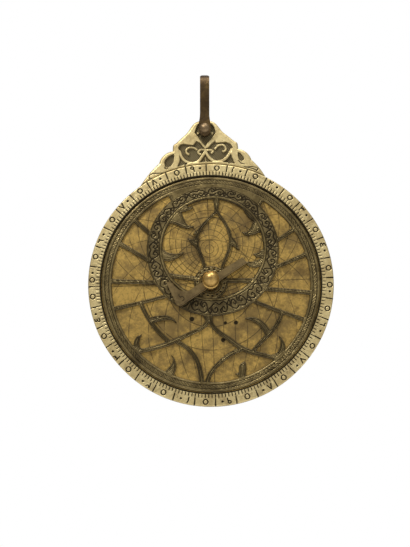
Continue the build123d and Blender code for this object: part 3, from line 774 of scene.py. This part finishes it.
def make_limb():
    """The graduated rim as rings of points, its degrees unrolled into a strip to draw on."""
    around = 2240
    rows = 38
    cells = 36
    middle = 47.5
    edge = disc_radius - 0.02
    worn = 0.35
    length = 2 * math.pi * middle
    strip = Sheet(np.linspace(0, length, around + 1), np.linspace(limb_inner, edge, rows))
    engraved_and_gap_shade = limb_engraving(strip, cells, length / cells)
    height = limb_face - 0.2 * engraved_and_gap_shade
    height = np.minimum(height, limb_face - 0.9 * np.clip(strip.z - (disc_radius - worn), 0, 1))
    turn = strip.x[:, :-1] / middle
    radius = strip.z[:, :-1]
    front = np.stack([radius * np.sin(turn), -height[:, :-1], radius * np.cos(turn) + centre_height], -1)
    behind = front[[0, -1]].copy()
    behind[..., 1] = -limb_back
    points = np.concatenate([front.reshape(-1, 3), behind.reshape(-1, 3)])
    ids = np.arange((rows + 2) * around).reshape(rows + 2, around)
    beside = np.roll(ids, -1, 1)
    behind_inner = rows
    behind_outer = rows + 1
    walk = [*range(rows), behind_outer, behind_inner, 0]
    strips = [np.stack([ids[a], beside[a], beside[b], ids[b]], -1) for a, b in zip(walk, walk[1:])]
    faces = np.concatenate(strips)[:, ::-1].tolist()
    ink_and_shade = np.concatenate([engraved_and_gap_shade[:, :-1].ravel(), np.zeros(2 * around)])
    made = engraved_object("limb_relief", points, faces, ink_and_shade, pale, "mater")
    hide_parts("limb_ring")


make_limb()


# Throne


def at(*points):
    """Points of the throne as read from the photograph, moved onto the model."""
    return [(x + 0.8, z + 0.6) for x, z in points]


def dots(*points):
    """Lines with no length, which strokes draws as round dots."""
    return [at(point) * 2 for point in points]


def throne_hollows():
    """Outlines of the sunken ground: the middle one, the one under the shackle, and one at each side."""
    middle = at(
        (-12.0, 56.0), (-12.2, 57.3), (-11.4, 58.5), (-9.9, 58.9), (-7.7, 58.4), (-5.8, 58.2), (-4.4, 59.9),
        (-3.0, 59.0), (-1.8, 57.3), (-1.0, 56.3), (0.4, 57.0), (2.0, 58.7), (3.3, 59.7), (3.8, 58.7),
        (5.7, 59.0), (7.9, 59.0), (9.7, 58.1), (10.6, 56.5), (10.4, 55.3), (9.8, 54.0), (10.2, 52.1),
        (10.9, 50.1), (11.4, 49.4), (5.3, 50.4), (-0.6, 50.6), (-7.2, 50.4), (-12.8, 48.9), (-12.5, 49.8),
        (-11.8, 51.7), (-11.9, 54.0),
    )
    under_shackle = at(
        (-3.3, 67.3), (-4.3, 65.8), (-5.1, 63.6), (-3.9, 61.7), (-0.9, 57.3), (2.1, 60.9), (3.8, 63.1),
        (3.3, 65.5), (2.3, 67.1),
    )
    left = at(
        (-14.1, 54.7), (-13.9, 53.3), (-14.3, 51.0), (-15.5, 49.2), (-16.9, 48.9), (-17.9, 49.4),
        (-18.3, 51.0), (-17.7, 52.3), (-16.3, 53.7),
    )
    right = at(
        (12.5, 54.4), (13.8, 53.9), (15.1, 51.9), (15.2, 50.9), (14.2, 50.2), (13.1, 50.7), (12.6, 52.4),
    )
    return middle, under_shackle, left, right


def throne_ribs():
    """The raised lines, each set with its width and the softness of its sides."""
    band_left = at(
        (-11.7, 55.6), (-10.7, 52.8), (-8.7, 50.9), (-6.1, 50.3), (-3.8, 51.2), (-2.3, 53.1), (-0.8, 55.2),
    )
    band_right = at(
        (-0.6, 54.8), (0.5, 52.6), (2.8, 50.8), (5.4, 50.7), (7.7, 52.0), (9.2, 54.0), (10.2, 55.6),
    )
    curls = [
        smooth(at((-4.5, 56.1), (-5.5, 56.9), (-7.5, 57.1), (-8.8, 56.2), (-8.8, 54.9), (-8.1, 54.3))),
        smooth(at((3.2, 56.2), (4.5, 57.5), (6.4, 57.8), (7.5, 56.8), (7.6, 55.4), (6.7, 54.9))),
        smooth(at((-0.8, 55.5), (-2.0, 56.1), (-3.4, 55.7), (-3.9, 54.8), (-3.1, 54.0))),
        smooth(at((-0.4, 55.6), (0.9, 55.8), (2.3, 55.2), (1.8, 54.5))),
    ]
    curl_ends = dots((-8.0, 54.3), (6.6, 54.9), (-3.1, 54.1), (1.7, 54.6), (-3.7, 63.2), (2.3, 63.0))
    veins = [
        at((-5.2, 62.7), (-3.2, 60.1), (-1.8, 57.9), (-1.0, 56.6)),
        at((3.9, 61.7), (2.0, 59.7), (0.5, 58.2), (-0.6, 56.6)),
        at((-1.0, 52.6), (-0.8, 50.4)),
    ]
    knot = dots((-0.8, 55.6))
    return (
        ([smooth(band_left), smooth(band_right)], 0.9, 0.3),
        (curls, 0.62, 0.26),
        (curl_ends, 0.8, 0.3),
        (veins, 0.25, 0.22),
        (knot, 1.1, 0.35),
    )


def throne_cuts():
    """The lines cut into the throne's raised parts."""
    return [
        smooth(at((-23.6, 44.4), (-24.5, 44.3), (-24.6, 45.5), (-23.2, 46.3), (-21.2, 46.4), (-18.9, 46.5))),
        smooth(at((15.6, 47.6), (18.2, 47.7), (20.7, 46.9), (20.0, 45.9))),
        at((15.0, 47.9), (18.4, 46.9), (20.4, 46.0)),
        smooth(at((-16.9, 48.6), (-17.4, 48.1), (-18.0, 48.5), (-17.8, 49.2))),
        smooth(at((12.8, 50.6), (13.8, 49.4), (15.1, 49.0))),
        at((-9.0, 50.6), (-9.6, 49.3)),
        at((8.0, 50.9), (8.8, 49.5)),
    ]


def make_throne():
    """The carved bracket: raised scrolls on a dark, hatched ground, worn edges, and a line on its back."""
    sunk_depth = 1.0
    cut_depth = 0.2
    edge_round = 0.9
    hatch_pitch = 0.7
    field = Field(outline_segments("throne", throne_face), 0.12)
    low = np.zeros(field.depth.shape)
    for outline in throne_hollows():
        low = np.maximum(low, field.area(outline))
    raised = np.zeros(field.depth.shape)
    for lines, width, soft in throne_ribs():
        raised = np.maximum(raised, field.strokes(lines, width, soft))
    limb_line = band(np.hypot(field.x, field.z), disc_radius + 0.35, 0.14)
    cut = np.maximum(field.strokes(throne_cuts(), 0.3), limb_line)
    sunk = low * (1 - raised)
    slant = np.mod(field.x * 0.8 + field.z * 0.6, hatch_pitch)
    hatch = band(slant, hatch_pitch / 2, 0.12) * (sunk > 0.9)
    worn = 0.5 * np.clip(1 - field.depth / edge_round, 0, 1) ** 2
    eased = 0.12 * low * (1 - sunk)
    height = throne_face - worn - sunk_depth * sunk - eased + 0.08 * hatch - cut_depth * cut
    ink_and_shade = np.maximum(np.clip(sunk * 1.3, 0, 1) * (0.88 - 0.25 * hatch), cut * 0.95)
    back_cut = band(field.depth, 1.1, 0.3)
    back = throne_back + worn + 0.15 * back_cut
    made = relief_piece("throne_relief", field, height, ink_and_shade, back, back_cut * 0.8, pale, "mater")
    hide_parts("throne")


make_throne()


# Studio


def add_camera(scene):
    """The camera at the photograph's viewing angle: a little above the disc, leaning a little."""
    photo_height = 547
    focal_pixels = 983.6
    sensor = 36
    lift = math.radians(-10.73)
    lean = math.radians(2.25)
    distance = 400
    shift_right = -2.379
    shift_up = 3.579
    forward = np.array([0, math.cos(lift), -math.sin(lift)])
    level = np.array([1.0, 0, 0])
    upright = np.array([0, math.sin(lift), math.cos(lift)])
    right = math.cos(lean) * level - math.sin(lean) * upright
    up = math.sin(lean) * level + math.cos(lean) * upright
    target = np.array([0.0, -limb_face, centre_height])
    place = target - distance * forward + right * shift_right + up * shift_up
    camera = bpy.data.objects.new("camera", bpy.data.cameras.new("camera"))
    camera.data.sensor_fit = "VERTICAL"
    camera.data.sensor_height = sensor
    camera.data.lens = focal_pixels / photo_height * sensor
    camera.data.clip_start = 0.01
    turn = Matrix(np.stack([right, up, -forward], -1).tolist()).to_4x4()
    camera.matrix_world = Matrix.Translation(Vector((place * MM).tolist())) @ turn
    scene.collection.objects.link(camera)
    scene.camera = camera


def add_world(scene):
    """A sky that lights the object more from above, and that the camera sees as plain white."""
    world = bpy.data.worlds.new("studio")
    scene.world = world
    world.use_nodes = True
    tree = world.node_tree
    background = tree.nodes["Background"]
    white = node(tree, "Background", {"Color": (1.0, 1.0, 1.0, 1.0), "Strength": 1.0})
    direction = node(tree, "SeparateXYZ", {"Vector": node(tree, "TexCoord").outputs["Generated"]})
    rise = (Number(direction.outputs["Z"]) + 1.0) * 0.5
    shade = node(tree, "ValToRGB", {"Fac": rise})
    for element, brightness in zip(shade.color_ramp.elements, (0.03, 0.5)):
        element.color = (brightness, brightness, brightness, 1)
    feed(background.inputs["Color"], shade.outputs[0])
    seen = node(tree, "LightPath").outputs["Is Camera Ray"]
    mixed = node(tree, "MixShader", {0: seen, 1: background.outputs[0], 2: white.outputs[0]})
    feed(tree.nodes["World Output"].inputs[0], mixed.outputs[0])


def add_lamps(scene):
    """Four soft lamps that face the disc, with places and sizes in metres and power in watts."""
    for name, at, size, power in (
        ("key", (-0.22, -0.42, 0.42), 0.16, 3.0),
        ("top", (0.12, -0.2, 0.55), 0.3, 1.8),
        ("fill", (0.45, -0.7, 0.1), 0.5, 0.5),
        ("rear", (0.3, 0.6, 0.35), 0.6, 1.5),
    ):
        light = bpy.data.lights.new(name, "AREA")
        light.energy = power
        light.size = size
        holder = bpy.data.objects.new(name, light)
        holder.location = at
        aim = Vector((0, 0, centre_height * MM)) - Vector(at)
        holder.rotation_euler = aim.to_track_quat("-Z", "Y").to_euler()
        scene.collection.objects.link(holder)


def add_floor(scene):
    """The pale floor under and behind the hanging object, in metres."""
    height = -0.25
    reach = 3
    back = 0.55
    mesh = bpy.data.meshes.new("floor")
    plan = [(-reach, -reach), (reach, -reach), (reach, back), (-reach, back)]
    mesh.from_pydata([(x, y, height) for x, y in plan], [], [[0, 1, 2, 3]])
    floor = bpy.data.objects.new("floor", mesh)
    scene.collection.objects.link(floor)
    material = bpy.data.materials.new("paper")
    material.use_nodes = True
    tree = material.node_tree
    shader = tree.nodes["Principled BSDF"]
    grain = noise(tree, object_place(tree), 60.0)
    feed(shader.inputs["Base Color"], blend(grain, (0.9, 0.9, 0.9), (0.94, 0.94, 0.94)))
    shader.inputs["Roughness"].default_value = 0.9
    mesh.materials.append(material)


scene = bpy.context.scene
add_camera(scene)
add_world(scene)
add_lamps(scene)
add_floor(scene)
scene.view_settings.view_transform = "Standard"
